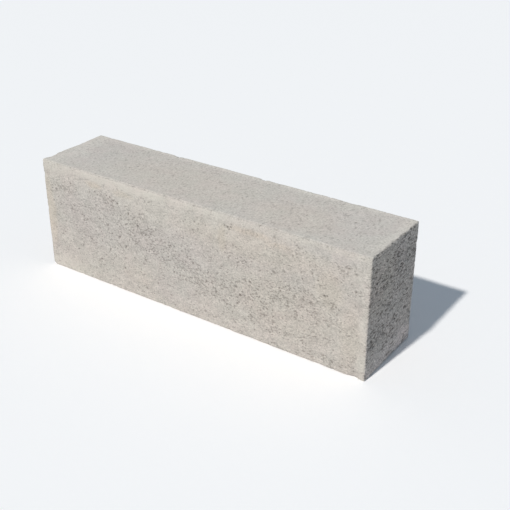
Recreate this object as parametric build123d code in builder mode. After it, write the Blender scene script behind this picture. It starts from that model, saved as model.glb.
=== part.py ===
from build123d import *
import os

# A solid dense concrete walling block, cast and vibrated in a steel mould in one piece.
# +X runs along the block, its face looks to -Y and +Z is up.
# The origin is the middle of the bed, on the surface that the block stands on.

# Driving dimensions, in millimetres
block_length = 440.0
block_width = 100.0
block_height = 140.0

# The long arris between the face and the top is rounded where the tamper smears the paste
rounded_arris_radius = 2.5
# The other arrises come sharp out of the mould and are only rubbed by handling
worn_arris_radius = 1.5

# Corner chipped off at the foot of the face, at its left end, measured along the three edges
chip_along_length = 4.5
chip_along_width = 3.0
chip_along_height = 4.0

with BuildPart() as block:
    # The section across the block, with the face on its left, run along the whole length
    with BuildSketch(Plane.YZ.offset(-block_length / 2)) as section:
        Rectangle(block_width, block_height, align=(Align.CENTER, Align.MIN))
        face_top_corner = section.vertices().group_by(Axis.X)[0].sort_by(Axis.Y)[-1:]
        fillet(face_top_corner, rounded_arris_radius)
    extrude(amount=block_length)

    # Both end outlines and the three long arrises that aren't rounded in the section
    end_outlines = block.faces().filter_by(Axis.X).edges()
    bed_arrises = block.faces().sort_by(Axis.Z)[0].edges().filter_by(Axis.X)
    back_top_arris = block.faces().sort_by(Axis.Y)[-1].edges().filter_by(Axis.X).sort_by(Axis.Z)[-1:]
    fillet(end_outlines + bed_arrises + back_top_arris, worn_arris_radius)

    # The chip is broken off along a plane that cuts the three edges of the corner
    chip_plane = Plane(
        origin=(-block_length / 2 + chip_along_length, -block_width / 2, 0),
        z_dir=(1 / chip_along_length, 1 / chip_along_width, 1 / chip_along_height),
    )
    split(bisect_by=chip_plane, keep=Keep.TOP)

block.part.label = "block"

os.makedirs("parts", exist_ok=True)
export_step(block.part, "parts/block.step")
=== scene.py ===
"""Looks of the concrete block: a weathered casting with pitted faces, worn arrises and coarse ends."""
import math

import bpy
import numpy as np
from mathutils import Matrix, Vector, kdtree


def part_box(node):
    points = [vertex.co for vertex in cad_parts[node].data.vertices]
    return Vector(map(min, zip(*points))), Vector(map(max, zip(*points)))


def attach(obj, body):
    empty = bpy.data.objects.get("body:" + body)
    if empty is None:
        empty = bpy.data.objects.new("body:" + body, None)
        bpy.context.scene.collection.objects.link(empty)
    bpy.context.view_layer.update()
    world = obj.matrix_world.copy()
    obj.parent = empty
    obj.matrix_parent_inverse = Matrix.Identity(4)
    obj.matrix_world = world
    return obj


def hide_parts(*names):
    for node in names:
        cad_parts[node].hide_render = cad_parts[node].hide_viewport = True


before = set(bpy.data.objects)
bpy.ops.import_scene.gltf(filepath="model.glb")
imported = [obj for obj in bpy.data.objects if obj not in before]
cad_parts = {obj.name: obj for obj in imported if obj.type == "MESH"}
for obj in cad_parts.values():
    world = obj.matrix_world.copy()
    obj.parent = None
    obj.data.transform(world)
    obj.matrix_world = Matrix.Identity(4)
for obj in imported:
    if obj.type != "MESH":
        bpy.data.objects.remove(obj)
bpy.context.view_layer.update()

MM = 0.001

# The block's own sizes, in metres
block_low, block_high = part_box("block")
BLOCK_SIZE = block_high - block_low
LENGTH, WIDTH, HEIGHT = BLOCK_SIZE
CORNER = np.array(block_low)
ROUNDED_ARRIS = 2.5 * MM
WORN_ARRIS = 1.5 * MM
CHIP_SIZE = np.array((4.5, 3.0, 4.0)) * MM

# The mesh: a fine lattice over the block, closer beside the arrises. It is thinned out to a limit
# at the end, but not where a point has more than a small share of a pit.
LATTICE_STEP = 0.8 * MM
ARRIS_STEP = 0.4 * MM
ARRIS_ZONE = 2.0 * MM
TRIANGLE_LIMIT = 190000
PIT_KEPT = 0.05

# The photograph's camera, found from the block's corners in a frame of 510 by 510 pixels
FRAME_PIXELS = 510
FOCAL_PIXELS = 880.67
SENSOR_WIDTH = 36.0
CAMERA_AZIMUTH = math.radians(34.852)
CAMERA_ELEVATION = math.radians(27.820)
CAMERA_DISTANCE = 0.9697
CAMERA_AIM = Vector((0.0519, 0.0, 0.0718))

# Light: a soft sun from the front and a pale sky, over a wide floor just under the block
SUN_AZIMUTH = math.radians(-6.0)
SUN_ELEVATION = math.radians(47.0)
SUN_STRENGTH = 2.6
SUN_COLOUR = (1.0, 0.98, 0.94)
SUN_SPREAD = math.radians(2.5)
SKY_COLOUR = (0.70, 0.84, 1.0, 1.0)
SKY_STRENGTH = 0.3
FLOOR_SIZE = 60.0
FLOOR_DROP = 0.2 * MM
FLOOR_ROUGHNESS = 0.9
FLOOR_SPECULAR = 0.1


def linear(red, green, blue):
    """Linear values, as shaders take them, of a colour given as 0 to 255 screen values."""
    screen = np.array((red, green, blue)) / 255.0
    values = np.where(screen <= 0.04045, screen / 12.92, ((screen + 0.055) / 1.055) ** 2.4)
    return (*values.tolist(), 1.0)


# Colours of the concrete on the sides, the beds and the ends, and of the painted shade in its pores and
# pits.
# The beds are painted paler than the sides, as painted light, and the ends darker, as painted shade.
SIDE_GREY = linear(190, 183, 175)
BED_GREY = linear(211, 204, 196)
END_GREY = linear(174, 169, 164)
PORE_SHADE_BROWN = linear(92, 86, 80)

# The floor as it lights the block and, a little whiter, as the camera sees it, and what lies past it
FLOOR_COLOUR = linear(250, 250, 252)
FLOOR_SEEN = (1.08, 1.07, 1.07, 1.0)
WHITE = (1.0, 1.0, 1.0, 1.0)

# Tints that multiply the ground colour, and the drift between the last two: its size, and the levels
# of noise at which it starts and is full
NO_TINT = (1.0, 1.0, 1.0, 1.0)
COOL_TINT = (0.983, 0.986, 1.005, 1.0)
WARM_TINT = (1.03, 0.99, 0.94, 1.0)
PASTE_TINT = (1.253, 1.265, 1.247, 1.0)
# On the ends this tint is paste, and also painted light bounced from the floor onto the foot
END_PASTE_AND_BOUNCE_TINT = (1.29, 1.26, 1.26, 1.0)
# Painted shade along the middle of the rounded arris, which damps the highlight there
ARRIS_SHADE_TINT = (0.82, 0.82, 0.82, 1.0)
PINK_TINT = (1.01, 0.995, 0.995, 1.0)
GREEN_TINT = (0.99, 1.003, 0.995, 1.0)
DRIFT_SIZE = 30 * MM
DRIFT_RANGE = (0.35, 0.65)

# Grain in the colour: size, stretch along the block, across it and up it, and contrast
SAND_SIZE = 1.4 * MM
SAND_STRETCH = (1.33, 1.54, 1.0)
SAND_CONTRAST = 0.85
MOTTLE_SIZE = 10 * MM
MOTTLE_STRETCH = (1.8, 2.0, 1.0)
MOTTLE_CONTRAST = 0.65
GRIT_SIZE = 2.2 * MM
GRIT_STRETCH = (1.0, 1.2, 1.0)
GRIT_CONTRAST = 0.9
PORE_SIZE = 1.6 * MM
PORE_STRETCH = (1.67, 3.3, 1.0)
CLUSTER_SIZE = 9 * MM
CLUSTER_STRETCH = (1.67, 3.3, 1.0)
CLUSTER_WEIGHT = 0.36
OPEN_WEIGHT = 0.09
PORE_RANGE = (0.74, 0.94)
# Painted shade in the pores, and in the mesh's pits
PORE_DARKNESS = 0.48
PIT_DARKNESS = 0.8
# Gains of the ends, which came out coarser, with grit that the faces lack,
# and of the paste and the beds, which came out smoother
END_SAND = 1.2
END_MOTTLE = -0.4
END_OPEN = 0.4
END_DARKNESS = 0.32
END_RELIEF = 0.5
PASTE_CALM = 1.0
PASTE_CALM_ON_ENDS = 0.15
MOST_CALM = 0.9
BED_SAND = 0.5
BED_MOTTLE = -0.3
BED_CALM = 0.5
# Noise in the colour is turned, so that no face lies along its lattice, and swings about its middle
NOISE_TURN = (0.5, 0.4, 0.3)
NOISE_MIDDLE = 0.5
# Bump of the grain and the pores, and the dry surface
BUMP_HEIGHT = 0.4 * MM
BUMP_STRENGTH = 0.5
BUMP_PORE = 0.6
ROUGHNESS = 0.92
SPECULAR = 0.25


# Noise on points

NOISE_TABLE = 256
NOISE_GAIN = 1.6


def smooth_noise(points, size, seed):
    """Gradient noise, about -1 to 1, with lumps about `size` metres across."""
    rng = np.random.default_rng(seed)
    gradients = rng.normal(size=(NOISE_TABLE, 3))
    gradients /= np.linalg.norm(gradients, axis=1, keepdims=True)
    shuffle = rng.permutation(NOISE_TABLE)
    grid = points / size
    cell = np.floor(grid).astype(np.int64)
    part = grid - cell
    ease = part ** 3 * (part * (part * 6.0 - 15.0) + 10.0)
    total = np.zeros(len(points))
    for corner in np.ndindex(2, 2, 2):
        near = cell + corner
        index = shuffle[near[:, 0] % NOISE_TABLE]
        index = shuffle[(index + near[:, 1]) % NOISE_TABLE]
        index = shuffle[(index + near[:, 2]) % NOISE_TABLE]
        weight = np.prod(np.where(corner, ease, 1.0 - ease), axis=1)
        total += weight * ((part - corner) * gradients[index]).sum(axis=1)
    return total * NOISE_GAIN


def layered_noise(points, size, seed, layers):
    """Several layers of noise, each half the size and half the strength of the one before."""
    total = np.zeros(len(points))
    for layer in range(layers):
        total += 0.5 ** layer * smooth_noise(points, size * 0.5 ** layer, seed + layer)
    return total


def rise(values, start, end):
    """A smooth step from 0 at `start` to 1 at `end`."""
    part = np.clip((values - start) / (end - start), 0.0, 1.0)
    return part * part * (3.0 - 2.0 * part)


# The block's plain form

def lattice_lines(low, high):
    """Places of the lattice lines along one side, closer together beside the arrises."""
    near = np.arange(0.0, ARRIS_ZONE, ARRIS_STEP)
    count = max(2, round((high - low - 2 * ARRIS_ZONE) / LATTICE_STEP) + 1)
    middle = np.linspace(low + ARRIS_ZONE, high - ARRIS_ZONE, count)
    return np.concatenate([low + near, middle, (high - near)[::-1]])


def box_lattice(lines):
    """Points and outward quads of the closed skin of a lattice box."""
    counts = [len(line) for line in lines]
    quads = []
    for axis in range(3):
        across, along = (axis + 1) % 3, (axis + 2) % 3
        spans = [np.arange(counts[across] - 1), np.arange(counts[along] - 1)]
        cells_across, cells_along = (cells.ravel() for cells in np.meshgrid(*spans, indexing="ij"))
        for side in (0, counts[axis] - 1):
            corners = []
            for step_across, step_along in ((0, 0), (1, 0), (1, 1), (0, 1)):
                index = [None, None, None]
                index[axis] = np.full(cells_across.size, side)
                index[across] = cells_across + step_across
                index[along] = cells_along + step_along
                corners.append((index[0] * counts[1] + index[1]) * counts[2] + index[2])
            quads.append(np.stack(corners if side else corners[::-1], axis=1))
    codes, faces = np.unique(np.concatenate(quads), return_inverse=True)
    line_x, rest = np.divmod(codes, counts[1] * counts[2])
    line_y, line_z = np.divmod(rest, counts[2])
    points = np.stack([lines[0][line_x], lines[1][line_y], lines[2][line_z]], axis=1)
    return points, faces.reshape(-1, 4)


def plain_distance(points):
    """Distance outside the sound block: its section with one rounded arris, run between worn ends."""
    y = points[:, 1]
    z = points[:, 2] - HEIGHT / 2
    corner = np.where((y < 0) & (z > 0), ROUNDED_ARRIS - WORN_ARRIS, 0.0)
    over_y = np.abs(y) - (WIDTH / 2 - WORN_ARRIS) + corner
    over_z = np.abs(z) - (HEIGHT / 2 - WORN_ARRIS) + corner
    section = np.hypot(np.maximum(over_y, 0), np.maximum(over_z, 0))
    section += np.minimum(np.maximum(over_y, over_z), 0) - corner
    over_x = np.abs(points[:, 0]) - (LENGTH / 2 - WORN_ARRIS)
    outside = np.hypot(np.maximum(section, 0), np.maximum(over_x, 0))
    return outside + np.minimum(np.maximum(section, over_x), 0) - WORN_ARRIS


def plain_normals(points):
    """Outward directions of the sound block."""
    reach = 0.001 * MM
    slopes = []
    for axis in range(3):
        step = np.zeros(3)
        step[axis] = reach
        slopes.append(plain_distance(points + step) - plain_distance(points - step))
    normals = np.stack(slopes, axis=1)
    return normals / np.linalg.norm(normals, axis=1, keepdims=True)


# Patches of colour and grain

# The faces that show: axis and side of the normal, and the axes across and up the face.
# Places on a face are in millimetres from the block's corner that is lowest, foremost and furthest left.
SHOWN_FACES = {"face": (1, -1, (0, 2)), "top": (2, 1, (0, 1)), "end": (0, 1, (1, 2))}

# Soft patches on the shown faces: across, up, reach across, reach up, and strength, 1 for a full tint
PATCHES = {
    # Pale smooth cement paste, and on the end's foot also painted light bounced from the floor
    "paste": {
        "face": (
            (105, 136, 80, 7.5, 0.65), (162, 135, 35, 8.5, 0.72), (220, 136, 80, 7, 0.57),
            (320, 136, 80, 6.5, 0.42), (420, 137, 60, 5, 0.3), (15, 135, 55, 9, 0.5),
            (220, 122, 280, 16, 0.2), (0, 75, 12, 70, 0.25), (25, 6, 45, 16, 0.4), (435, 40, 5, 70, 0.35),
        ),
        "top": ((8, 50, 25, 60, 0.3), (220, 97, 300, 6, 0.4), (434, 60, 6, 60, 0.3)),
        # On the end, the pale strip along its foot is paste and painted light bounced from the floor
        "end": ((50, 4, 120, 20, 0.8), (85, 6, 35, 18, 1.5), (60, 32, 90, 22, 0.25)),
    },
    # Buff stains
    "warm": {
        "face": (
            (82, 126, 13, 5, 0.9), (125, 126, 18, 5, 0.6), (264, 112, 8, 18, 0.8), (300, 127, 30, 5, 0.9),
            (335, 122, 22, 4, 0.7), (310, 112, 110, 18, 0.35), (7, 75, 8, 55, 0.8), (395, 90, 18, 28, 0.6),
            (350, 55, 75, 45, 0.3), (420, 45, 16, 40, 0.5), (145, 28, 30, 12, 0.2), (40, 10, 50, 9, 0.1),
        ),
        "top": ((190, 40, 110, 45, 0.3), (330, 35, 60, 35, 0.35)),
        "end": ((20, 105, 40, 45, 0.6),),
    },
    # Cool grey
    "cool": {
        "face": (
            (80, 85, 65, 45, 0.9), (190, 75, 75, 30, 0.9), (195, 30, 40, 25, 0.7), (355, 85, 18, 12, 0.6),
            (400, 130, 45, 7, 0.7),
        ),
        "top": ((40, 55, 45, 50, 0.6), (400, 60, 45, 45, 0.5)),
        # On the end, the cool patch along its foot is painted bluish bounce light
        "end": ((60, 12, 60, 18, 1.0),),
    },
    # Open grain with many pores
    "porous": {
        "face": (
            (40, 112, 30, 10, 0.6), (115, 103, 40, 16, 0.6), (95, 70, 60, 35, 0.5), (145, 85, 30, 22, 0.8),
            (180, 72, 40, 22, 0.8), (220, 58, 40, 20, 0.9), (255, 48, 40, 20, 0.8), (305, 55, 50, 25, 0.7),
            (345, 120, 50, 6, 0.4), (400, 119, 35, 7, 0.5), (375, 65, 45, 25, 0.6), (330, 25, 40, 12, 0.6),
            (385, 10, 35, 6, 0.8),
        ),
        "end": ((50, 106, 70, 20, 0.8), (30, 40, 35, 15, 0.8), (60, 80, 60, 30, 0.4)),
    },
}
# A patch is full inside the first of these levels of its fall-off, and gone outside the second
PATCH_FULL = 0.8
PATCH_GONE = 0.2
# Borders wander, by millimetres on lumps of this size
WANDER_SIZE = 24 * MM
WANDER_REACH = 3.0
# On the hidden faces the patches lie anywhere, and are weaker
HIDDEN_SIZE = 60 * MM
HIDDEN_RANGE = (-0.1, 0.8)
HIDDEN_SHARE = 0.7


def soft_patches(places, patches):
    """Strength of the strongest patch at each place on a face."""
    total = np.zeros(len(places))
    for across, up, reach_across, reach_up, strength in patches:
        gap = ((places - (across, up)) / (reach_across, reach_up)) ** 2
        total = np.maximum(total, strength * rise(np.exp(-gap.sum(axis=1)), PATCH_GONE, PATCH_FULL))
    return total


def face_zones(points, normals):
    """Share of each kind of patch at each point, 1 for a full tint, with ragged borders."""
    wander = [layered_noise(points, WANDER_SIZE, seed, layers=3) for seed in (12, 16, 20)]
    places = (points - CORNER) / MM + WANDER_REACH * np.stack(wander, axis=1)
    zones = {}
    for number, (zone, faces) in enumerate(PATCHES.items()):
        anywhere = rise(layered_noise(points, HIDDEN_SIZE, seed=90 + 5 * number, layers=3), *HIDDEN_RANGE)
        hidden = np.ones(len(points))
        share = np.zeros(len(points))
        for face, (axis, side, across) in SHOWN_FACES.items():
            shown = np.maximum(side * normals[:, axis], 0.0) ** 2
            hidden -= shown
            share += shown * soft_patches(places[:, across], faces.get(face, ()))
        zones[zone] = share + HIDDEN_SHARE * hidden * anywhere
    return zones


# How steeply the painted shade on the middle of the rounded arris ends
ARRIS_SHADE_STEEPNESS = 4


def arris_shade_share(normals):
    """How much each point belongs to the middle of the rounded arris, where shade is painted, from 0 to 1.
    """
    forward = np.maximum(-normals[:, 1], 0.0)
    upward = np.maximum(normals[:, 2], 0.0)
    return (2.0 * forward * upward) ** ARRIS_SHADE_STEEPNESS


# Pits

# Pits strewn over each kind of face: how many, radii in millimetres,
# how deep for their radius, and how stretched along the face
PIT_SEED = 7
PITS = {
    "sides": {"axis": 1, "count": 420, "radius": (0.8, 1.2), "largest": 2.0, "depth": 0.6, "stretch": 1.2},
    "beds": {"axis": 2, "count": 160, "radius": (0.7, 1.0), "largest": 1.5, "depth": 0.5, "stretch": 1.0},
    "ends": {"axis": 0, "count": 300, "radius": (0.7, 1.0), "largest": 1.8, "depth": 0.7, "stretch": 2.2},
}
# Strewn pits get half the painted shade of those that stand out
STREWN_SHADE = 0.5
SINGLE_SHADE = 1.0
# Few are large: the power of a random share that makes a pit larger
LARGE_POWER = 6
# Chance of a pit in closed grain, to which the share of open grain is added
CLOSED_CHANCE = 0.15
# Rims are bent by noise of this size and reach
RIM_SIZE = 2.2 * MM
RIM_REACH = 0.6 * MM
# A face's pits lie where the surface looks its way by at least this share
FACE_SQUARE = 0.7

# Pits that stand out one by one: across, up and radius, in millimetres
SINGLE_PITS = {
    "face": (
        (44, 119, 1.3), (83, 118, 1.4), (87, 115, 1.2), (101, 118, 1.2), (106, 117, 1.6), (111, 114, 1.3),
        (117, 112, 1.5), (133, 103, 1.4), (146, 92, 1.6), (126, 61, 1.3), (117, 70, 1.9), (122, 31, 1.6),
        (189, 66, 1.2), (287, 50, 1.7), (338, 72, 1.5), (382, 98, 1.3), (390, 83, 1.6), (364, 94, 1.2),
        (301, 30, 1.2), (13, 90, 1.3), (268, 127, 1.2), (272, 126, 1.6), (276, 127, 1.4), (274, 124, 1.1),
    ),
    "top": (
        (103, 40, 1.4), (109, 48, 1.2), (389, 60, 1.7), (324, 63, 1.1), (353, 81, 1.2), (343, 24, 1.2),
        (403, 23, 1.3), (427, 52, 1.1), (144, 33, 1.2),
    ),
    "end": (
        (15, 96, 1.9), (51, 116, 1.6), (16, 33, 2.0), (11, 36, 1.6), (22, 37, 1.5), (36, 39, 1.9),
        (59, 24, 1.7), (4, 42, 1.6), (85, 4, 1.6), (79, 129, 1.6), (66, 131, 1.5), (66, 106, 1.6),
        (47, 94, 1.5), (83, 47, 1.9), (64, 46, 1.5), (85, 68, 1.5),
    ),
}


def strewn_pits(facts, places, porous, rng):
    """Centres, radii and shades of the pits strewn over one face, more of them where it is porous."""
    count = facts["count"]
    chance = CLOSED_CHANCE + porous
    chosen = rng.choice(len(places), size=count, p=chance / chance.sum())
    spread = rng.random(count) ** LARGE_POWER
    small = rng.uniform(*facts["radius"], count)
    radii = small + spread * (facts["largest"] - small)
    return [(place, radius, STREWN_SHADE) for place, radius in zip(places[chosen], radii)]


def single_pits(axis, side):
    """Centres, radii and shades of the pits that stand out on one face."""
    pits = []
    for face, (own_axis, own_side, across) in SHOWN_FACES.items():
        if (own_axis, own_side) == (axis, side):
            for place_across, place_up, radius in SINGLE_PITS[face]:
                place = np.zeros(3)
                place[axis] = BLOCK_SIZE[axis] if side > 0 else 0.0
                place[list(across)] = place_across * MM, place_up * MM
                pits.append((place, radius, SINGLE_SHADE))
    return pits


def sink_pits(points, normals, porous):
    """Depth of the pits at each point, and how much of a pit each point is in, from 0 to 1."""
    rng = np.random.default_rng(PIT_SEED)
    depth = np.zeros(len(points))
    share = np.zeros(len(points))
    bend = [smooth_noise(points, RIM_SIZE, seed) for seed in (60, 61, 62)]
    places = points - CORNER + RIM_REACH * np.stack(bend, axis=1)
    for facts in PITS.values():
        axis = facts["axis"]
        stretch = np.ones(3)
        stretch[1 if axis == 0 else 0] = facts["stretch"]
        for side in (-1, 1):
            own = np.flatnonzero(side * normals[:, axis] > FACE_SQUARE)
            tree = kdtree.KDTree(len(own))
            for index, place in enumerate(places[own] / stretch):
                tree.insert(place, index)
            tree.balance()
            pits = strewn_pits(facts, places[own], porous[own], rng) + single_pits(axis, side)
            for place, radius, shade in pits:
                for _, index, gap in tree.find_range(place / stretch, radius * MM):
                    bowl = 1.0 - (gap / (radius * MM)) ** 2
                    vertex = own[index]
                    depth[vertex] = max(depth[vertex], bowl * radius * MM * facts["depth"])
                    share[vertex] = max(share[vertex], bowl * shade)
    return depth, share


# Worn and broken arrises

# How far wear reaches from an arris
WEAR_REACH = 1.5 * MM
# Small nicks, long rubbed stretches and, along the right end's top arris, scallops:
# size, depth, and the levels of noise at which they start and are full
NICK_SIZE = 6 * MM
NICK_DEPTH = 0.7 * MM
NICK_RANGE = (0.1, 0.9)
RUB_SIZE = 30 * MM
RUB_DEPTH = 0.35 * MM
RUB_RANGE = (-0.4, 0.8)
SCALLOP_SIZE = 8 * MM
SCALLOP_DEPTH = 1.1 * MM
SCALLOP_RANGE = (-0.1, 0.8)
# Scallops start and are full at these distances from that end and from the top
SCALLOPS_START = 4 * MM
SCALLOPS_FULL = 2 * MM
# The edges of bites are ragged
RAGGED_SIZE = 3 * MM
RAGGED_SHARE = 0.5

# Where the two ends, the face and back, and the bed and top lie from the lowest, foremost
# and furthest left corner, in millimetres
LEFT, RIGHT = 0.0, LENGTH / MM
FRONT, BACK = 0.0, WIDTH / MM
BED, TOP = 0.0, HEIGHT / MM

# Single bites: place from that corner, reach along X, Y and Z, and depth, all in millimetres
BITES = (
    ((427, FRONT, BED), (6, 3, 2.5), 1.6),
    ((385, FRONT, BED), (8, 3, 2), 0.8),
    ((300, FRONT, BED), (7, 3, 2), 0.7),
    ((128, BACK, TOP), (5, 3, 3), 1.3),
    ((251, BACK, TOP), (4, 3, 3), 1.5),
    ((268, BACK, TOP), (9, 3, 3), 0.7),
    ((360, BACK, TOP), (12, 3, 3), 0.7),
    ((LEFT, 16, TOP), (3, 7, 3), 1.8),
    ((LEFT, 60, TOP), (2.5, 22, 2.5), 0.8),
    ((RIGHT, 97, 114), (3, 3, 3.5), 1.2),
    ((RIGHT, 22, TOP), (2.5, 7, 2.5), 1.2),
    ((RIGHT, 46, TOP), (2.5, 5, 2.5), 1.2),
    ((RIGHT, 70, TOP), (2.5, 8, 2.5), 1.0),
    ((RIGHT, FRONT, 118), (2, 2, 7), 0.8),
    ((RIGHT, FRONT, 60), (2, 2, 10), 0.5),
)


def arris_distance(points):
    """Distance from each point to the nearest arris of the block."""
    gaps = np.stack([
        LENGTH / 2 - np.abs(points[:, 0]),
        WIDTH / 2 - np.abs(points[:, 1]),
        np.minimum(points[:, 2], HEIGHT - points[:, 2]),
    ], axis=1)
    return np.sort(gaps, axis=1)[:, 1]


def nick_arrises(points):
    """Depth of the nicks and bites that handling leaves along the arrises."""
    worn = np.exp(-(arris_distance(points) / WEAR_REACH) ** 2)
    nicks = rise(layered_noise(points, NICK_SIZE, seed=31, layers=2), *NICK_RANGE) * NICK_DEPTH
    rubs = rise(layered_noise(points, RUB_SIZE, seed=35, layers=2), *RUB_RANGE) * RUB_DEPTH
    at_end = rise(points[:, 0], LENGTH / 2 - SCALLOPS_START, LENGTH / 2 - SCALLOPS_FULL)
    at_top = rise(points[:, 2], HEIGHT - SCALLOPS_START, HEIGHT - SCALLOPS_FULL)
    scallops = rise(layered_noise(points, SCALLOP_SIZE, seed=33, layers=3), *SCALLOP_RANGE) * SCALLOP_DEPTH
    depth = worn * (nicks + rubs + scallops * at_end * at_top)
    places = (points - CORNER) / MM
    ragged = 1.0 + RAGGED_SHARE * layered_noise(points, RAGGED_SIZE, seed=37, layers=2)
    for place, reach, deepest in BITES:
        gap = (((places - place) / reach) ** 2).sum(axis=1)
        depth = np.maximum(depth, deepest * MM * np.exp(-gap) * ragged)
    return depth


# Roughness of the fracture at the broken corner
FRACTURE_SIZE = 3 * MM
FRACTURE_DEPTH = 0.5 * MM


def break_corner(points):
    """Moves the points of the broken corner back to its fracture, at the foot of the face's left end."""
    inward = 1.0 / CHIP_SIZE
    reach = 1.0 / np.linalg.norm(inward)
    inward *= reach
    rough = FRACTURE_DEPTH * (1.0 + smooth_noise(points, FRACTURE_SIZE, seed=81))
    short = reach + rough - (points - CORNER) @ inward
    return points + np.maximum(short, 0.0)[:, None] * inward


# The weathered block

# Relief of the faces: size of its lumps and its depth
SLUMP_SIZE = 90 * MM
SLUMP_DEPTH = 0.15 * MM
SKIN_SIZE = 3 * MM
SIDE_SKIN_DEPTH = 0.08 * MM
BED_SKIN_DEPTH = 0.05 * MM
LUMP_SIZE = 1.8 * MM
LUMP_DEPTH = 0.2 * MM
LUMP_STRETCH = (1.0, 1.67, 1.0)
# How much paste fills the relief of the sides and of the ends
PASTE_FILLS_SIDES = 0.7
PASTE_FILLS_ENDS = 0.5


def weather(points, normals, zones):
    """Depth to which the surface lies inside the sound block, and the share of pit at each point."""
    ends, sides, beds = (normals ** 2).T
    pits, share = sink_pits(points, normals, zones["porous"])
    slump = (1.0 + smooth_noise(points, SLUMP_SIZE, seed=21)) * SLUMP_DEPTH
    skin = 1.0 + layered_noise(points, SKIN_SIZE, seed=41, layers=2)
    skin *= SIDE_SKIN_DEPTH * sides * (1.0 - PASTE_FILLS_SIDES * zones["paste"]) + BED_SKIN_DEPTH * beds
    lumps = 1.0 + layered_noise(points / LUMP_STRETCH, LUMP_SIZE, seed=51, layers=2)
    lumps *= LUMP_DEPTH * ends * (1.0 - PASTE_FILLS_ENDS * zones["paste"])
    depth = slump + skin + lumps + pits + nick_arrises(points)
    return np.maximum(depth, 0.0), share


# Wear moves the surface towards a core this far inside the block, so that no bite in an arris folds over
CORE_DEPTH = 8 * MM


def outward_directions(points):
    """Directions away from the block's core, which turn slowly across the arrises."""
    from_middle = points - (0.0, 0.0, HEIGHT / 2)
    core = np.array(BLOCK_SIZE) / 2 - CORE_DEPTH
    outward = from_middle - np.clip(from_middle, -core, core)
    return outward / np.linalg.norm(outward, axis=1, keepdims=True)


def thin_out(block, kept_points, face_count):
    """Thins the block's mesh to the limit of triangles, and keeps the points of its pits."""
    kept = block.vertex_groups.new(name="kept")
    kept.add(kept_points.tolist(), 1.0, "REPLACE")
    thin = block.modifiers.new("thin", "DECIMATE")
    thin.ratio = TRIANGLE_LIMIT / (2 * face_count)
    thin.vertex_group = kept.name
    thin.invert_vertex_group = True
    thinned = block.evaluated_get(bpy.context.evaluated_depsgraph_get())
    block.data = bpy.data.meshes.new_from_object(thinned)
    block.modifiers.clear()
    block.vertex_groups.clear()


def make_block():
    """The weathered block as one closed mesh, with the shares that its material reads."""
    lines = [lattice_lines(low, high) for low, high in zip(block_low, block_high)]
    points, faces = box_lattice(lines)
    points = points - plain_normals(points) * plain_distance(points)[:, None]
    normals = plain_normals(points)
    zones = face_zones(points, normals)
    depth, pit_share = weather(points, normals, zones)
    shares = {
        **zones,
        "pit": pit_share,
        "arris_shade": arris_shade_share(normals),
        "end_grain": normals[:, 0] ** 2,
        "bed_grain": normals[:, 2] ** 2,
    }
    points = break_corner(points - outward_directions(points) * depth[:, None])
    mesh = bpy.data.meshes.new("concrete_block")
    mesh.from_pydata(points.tolist(), [], faces.tolist())
    for name, values in shares.items():
        mesh.attributes.new(name, "FLOAT", "POINT").data.foreach_set("value", values.astype(np.float32))
    block = bpy.data.objects.new("concrete_block", mesh)
    bpy.context.scene.collection.objects.link(block)
    thin_out(block, np.flatnonzero(pit_share > PIT_KEPT), len(faces))
    block.data.shade_smooth()
    return block


# The concrete

# The sockets that a mix node has for its share, its two colours and their mix
MIX_SHARE = 0
MIX_FIRST = 6
MIX_SECOND = 7
MIX_RESULT = 2


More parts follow.
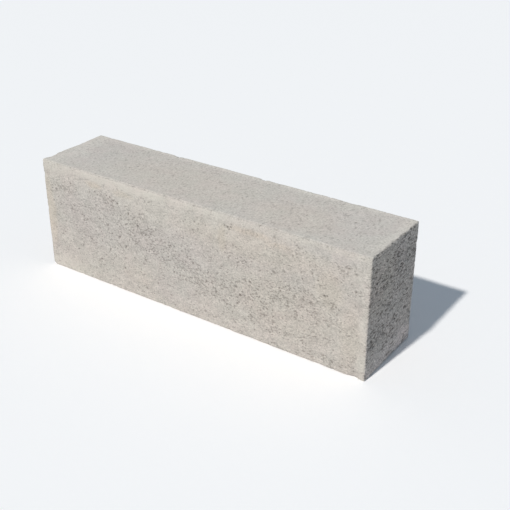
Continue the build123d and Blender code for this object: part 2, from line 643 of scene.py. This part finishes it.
class Graph:
    """Short calls that add shader nodes to one material and return their outputs."""

    def __init__(self, name):
        self.material = bpy.data.materials.new(name)
        self.material.use_nodes = True
        self.tree = self.material.node_tree
        self.shader = self.tree.nodes["Principled BSDF"]

    def put(self, socket, value):
        if isinstance(value, bpy.types.NodeSocket):
            self.tree.links.new(value, socket)
        else:
            socket.default_value = value

    def attribute(self, name):
        node = self.tree.nodes.new("ShaderNodeAttribute")
        node.attribute_name = name
        return node.outputs["Fac"]

    def math(self, operation, *values):
        node = self.tree.nodes.new("ShaderNodeMath")
        node.operation = operation
        for socket, value in zip(node.inputs, values):
            self.put(socket, value)
        return node.outputs[0]

    def blend(self, share, first, second):
        """Mixes two colours. A share over 1 goes past the second one."""
        node = self.tree.nodes.new("ShaderNodeMix")
        node.data_type = "RGBA"
        node.clamp_factor = False
        self.put(node.inputs[MIX_SHARE], share)
        self.put(node.inputs[MIX_FIRST], first)
        self.put(node.inputs[MIX_SECOND], second)
        return node.outputs[MIX_RESULT]

    def tint(self, colour, share, first, second):
        """Multiplies a colour by a blend of two tints."""
        node = self.tree.nodes.new("ShaderNodeVectorMath")
        node.operation = "MULTIPLY"
        self.put(node.inputs[0], colour)
        self.put(node.inputs[1], self.blend(share, first, second))
        return node.outputs[0]

    def scale(self, colour, amount):
        node = self.tree.nodes.new("ShaderNodeVectorMath")
        node.operation = "SCALE"
        self.put(node.inputs[0], colour)
        self.put(node.inputs["Scale"], amount)
        return node.outputs[0]

    def step(self, value, start, end):
        node = self.tree.nodes.new("ShaderNodeMapRange")
        node.interpolation_type = "SMOOTHSTEP"
        self.put(node.inputs["Value"], value)
        self.put(node.inputs["From Min"], start)
        self.put(node.inputs["From Max"], end)
        return node.outputs["Result"]

    def noise(self, size, stretch=(1.0, 1.0, 1.0), offset=0.0, detail=1.0, roughness=0.5):
        """Noise on the object's own coordinates, drawn out along its axes."""
        place = self.tree.nodes.new("ShaderNodeTexCoord")
        mapping = self.tree.nodes.new("ShaderNodeMapping")
        self.put(mapping.inputs["Vector"], place.outputs["Object"])
        self.put(mapping.inputs["Location"], (offset, offset, offset))
        self.put(mapping.inputs["Rotation"], NOISE_TURN)
        self.put(mapping.inputs["Scale"], tuple(1.0 / length for length in stretch))
        node = self.tree.nodes.new("ShaderNodeTexNoise")
        self.put(node.inputs["Vector"], mapping.outputs["Vector"])
        self.put(node.inputs["Scale"], 1.0 / size)
        self.put(node.inputs["Detail"], detail)
        self.put(node.inputs["Roughness"], roughness)
        return node.outputs["Fac"]

    def bump(self, height, distance, strength):
        node = self.tree.nodes.new("ShaderNodeBump")
        self.put(node.inputs["Height"], height)
        self.put(node.inputs["Distance"], distance)
        self.put(node.inputs["Strength"], strength)
        return node.outputs["Normal"]


def ground_colour(graph, ends, beds, paste):
    """Grey, stained in places, pale where the paste came up, with painted light and shade on some faces
    and painted shade along the middle of the rounded arris.
    """
    # The beds are painted paler than the sides, as painted light, and the ends darker, as painted shade
    colour = graph.blend(beds, SIDE_GREY, BED_GREY)
    colour = graph.blend(ends, colour, END_GREY)
    colour = graph.tint(colour, graph.attribute("cool"), NO_TINT, COOL_TINT)
    colour = graph.tint(colour, graph.attribute("warm"), NO_TINT, WARM_TINT)
    colour = graph.tint(colour, paste, NO_TINT, graph.blend(ends, PASTE_TINT, END_PASTE_AND_BOUNCE_TINT))
    # Painted shade along the middle of the rounded arris
    colour = graph.tint(colour, graph.attribute("arris_shade"), NO_TINT, ARRIS_SHADE_TINT)
    drift = graph.step(graph.noise(DRIFT_SIZE, detail=4.0, roughness=0.6), *DRIFT_RANGE)
    return graph.tint(colour, drift, PINK_TINT, GREEN_TINT)


def pore_share(graph, ends, loud):
    """Pores in loose clusters, closer together where the concrete is open."""
    open_share = graph.math("MAXIMUM", graph.attribute("porous"), graph.math("MULTIPLY", ends, END_OPEN))
    cluster = graph.noise(CLUSTER_SIZE, CLUSTER_STRETCH, offset=0.4, detail=2.0)
    speckle = graph.noise(PORE_SIZE, PORE_STRETCH, offset=0.2)
    speckle = graph.math("MULTIPLY_ADD", cluster, CLUSTER_WEIGHT, speckle)
    speckle = graph.math("MULTIPLY_ADD", open_share, OPEN_WEIGHT, speckle)
    return graph.math("MULTIPLY", graph.step(speckle, *PORE_RANGE), loud)


def grain_level(graph, grain, contrast, *gains):
    """How far one kind of grain lightens or darkens the concrete, with its gains on some faces."""
    level = contrast
    for share, gain in gains:
        level = graph.math("MULTIPLY_ADD", share, gain * contrast, level)
    return graph.math("MULTIPLY", graph.math("SUBTRACT", grain, NOISE_MIDDLE), level)


def concrete_material():
    """Dry grey concrete: a stained ground, sand grain and mottling, painted shade in the pores and pits,
    and bump to match.
    """
    graph = Graph("concrete")
    ends = graph.attribute("end_grain")
    beds = graph.attribute("bed_grain")
    paste = graph.attribute("paste")

    # Grain is strong on the ends, and calm in the paste and on the beds
    paste_calm = graph.math("MULTIPLY_ADD", ends, PASTE_CALM_ON_ENDS - PASTE_CALM, PASTE_CALM)
    bed_calm = graph.math("MULTIPLY", beds, BED_CALM)
    calm = graph.math("MAXIMUM", graph.math("MULTIPLY", paste, paste_calm), bed_calm)
    calm = graph.math("MINIMUM", calm, MOST_CALM)
    loud = graph.math("SUBTRACT", 1.0, calm)
    sand = graph.noise(SAND_SIZE, SAND_STRETCH, roughness=0.7)
    mottle = graph.noise(MOTTLE_SIZE, MOTTLE_STRETCH, detail=3.0, roughness=0.95)
    grit = graph.noise(GRIT_SIZE, GRIT_STRETCH, offset=0.6, roughness=0.6)
    grain = graph.math(
        "ADD",
        grain_level(graph, sand, SAND_CONTRAST, (ends, END_SAND), (beds, BED_SAND)),
        grain_level(graph, mottle, MOTTLE_CONTRAST, (ends, END_MOTTLE), (beds, BED_MOTTLE)),
    )
    grain = graph.math("MULTIPLY_ADD", grain_level(graph, grit, GRIT_CONTRAST), ends, grain)
    brightness = graph.math("MULTIPLY_ADD", grain, loud, 1.0)
    colour = graph.scale(ground_colour(graph, ends, beds, paste), brightness)

    # Painted shade darkens the pores and pits, most of all on the ends
    pore = pore_share(graph, ends, loud)
    darkness = graph.math("MULTIPLY_ADD", ends, END_DARKNESS, PORE_DARKNESS)
    colour = graph.blend(graph.math("MULTIPLY", pore, darkness), colour, PORE_SHADE_BROWN)
    colour = graph.blend(graph.math("MULTIPLY", graph.attribute("pit"), PIT_DARKNESS), colour, PORE_SHADE_BROWN)

    relief = graph.math("MULTIPLY", loud, graph.math("MULTIPLY_ADD", ends, END_RELIEF, 1.0))
    height = graph.math("MULTIPLY", graph.math("ADD", sand, mottle), relief)
    height = graph.math("MULTIPLY_ADD", pore, -BUMP_PORE, height)
    graph.put(graph.shader.inputs["Base Color"], colour)
    graph.put(graph.shader.inputs["Normal"], graph.bump(height, BUMP_HEIGHT, BUMP_STRENGTH))
    graph.put(graph.shader.inputs["Roughness"], ROUGHNESS)
    graph.put(graph.shader.inputs["Specular IOR Level"], SPECULAR)
    return graph.material


# The stage

def make_floor():
    """A plain floor, which the camera sees a little whiter than it lights the block."""
    half = FLOOR_SIZE / 2
    outline = ((-half, -half), (half, -half), (half, half), (-half, half))
    mesh = bpy.data.meshes.new("floor")
    mesh.from_pydata([(x, y, -FLOOR_DROP) for x, y in outline], [], [(0, 1, 2, 3)])
    floor = bpy.data.objects.new("floor", mesh)
    bpy.context.scene.collection.objects.link(floor)
    graph = Graph("floor")
    path = graph.tree.nodes.new("ShaderNodeLightPath")
    colour = graph.blend(path.outputs["Is Camera Ray"], FLOOR_COLOUR, FLOOR_SEEN)
    graph.put(graph.shader.inputs["Base Color"], colour)
    graph.put(graph.shader.inputs["Roughness"], FLOOR_ROUGHNESS)
    graph.put(graph.shader.inputs["Specular IOR Level"], FLOOR_SPECULAR)
    mesh.materials.append(graph.material)


def direction(azimuth, elevation):
    """From the object outwards, with azimuth 0 in front of the face."""
    flat = math.cos(elevation)
    return Vector((math.sin(azimuth) * flat, -math.cos(azimuth) * flat, math.sin(elevation)))


def facing(back):
    """Turn that points an object's -Z away from `back` and keeps it level."""
    right = Vector((0.0, 0.0, 1.0)).cross(back).normalized()
    return Matrix((right, back.cross(right), back)).transposed()


def make_sun():
    """A soft sun, high in front of the face."""
    sun = bpy.data.lights.new("sun", "SUN")
    sun.energy = SUN_STRENGTH
    sun.color = SUN_COLOUR
    sun.angle = SUN_SPREAD
    lamp = bpy.data.objects.new("sun", sun)
    lamp.matrix_world = facing(direction(SUN_AZIMUTH, SUN_ELEVATION)).to_4x4()
    bpy.context.scene.collection.objects.link(lamp)


def make_sky():
    """A pale blue sky that lights the block, and plain white where the camera sees past the floor."""
    world = bpy.data.worlds.new("sky")
    world.use_nodes = True
    tree = world.node_tree
    sky = tree.nodes["Background"]
    sky.inputs["Color"].default_value = SKY_COLOUR
    sky.inputs["Strength"].default_value = SKY_STRENGTH
    white = tree.nodes.new("ShaderNodeBackground")
    white.inputs["Color"].default_value = WHITE
    path = tree.nodes.new("ShaderNodeLightPath")
    choice = tree.nodes.new("ShaderNodeMixShader")
    tree.links.new(path.outputs["Is Camera Ray"], choice.inputs[0])
    tree.links.new(sky.outputs[0], choice.inputs[1])
    tree.links.new(white.outputs[0], choice.inputs[2])
    tree.links.new(choice.outputs[0], tree.nodes["World Output"].inputs["Surface"])
    bpy.context.scene.world = world


def make_camera():
    """The camera at the photograph's angle."""
    data = bpy.data.cameras.new("camera")
    data.sensor_width = SENSOR_WIDTH
    data.lens = FOCAL_PIXELS / FRAME_PIXELS * SENSOR_WIDTH
    camera = bpy.data.objects.new("camera", data)
    back = direction(CAMERA_AZIMUTH, CAMERA_ELEVATION)
    camera.matrix_world = Matrix.Translation(CAMERA_AIM + back * CAMERA_DISTANCE) @ facing(back).to_4x4()
    bpy.context.scene.collection.objects.link(camera)
    bpy.context.scene.camera = camera


block = make_block()
block.data.materials.clear()
block.data.materials.append(concrete_material())
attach(block, "root")
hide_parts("block")
make_floor()
make_sun()
make_sky()
make_camera()
bpy.context.scene.view_settings.view_transform = "Standard"
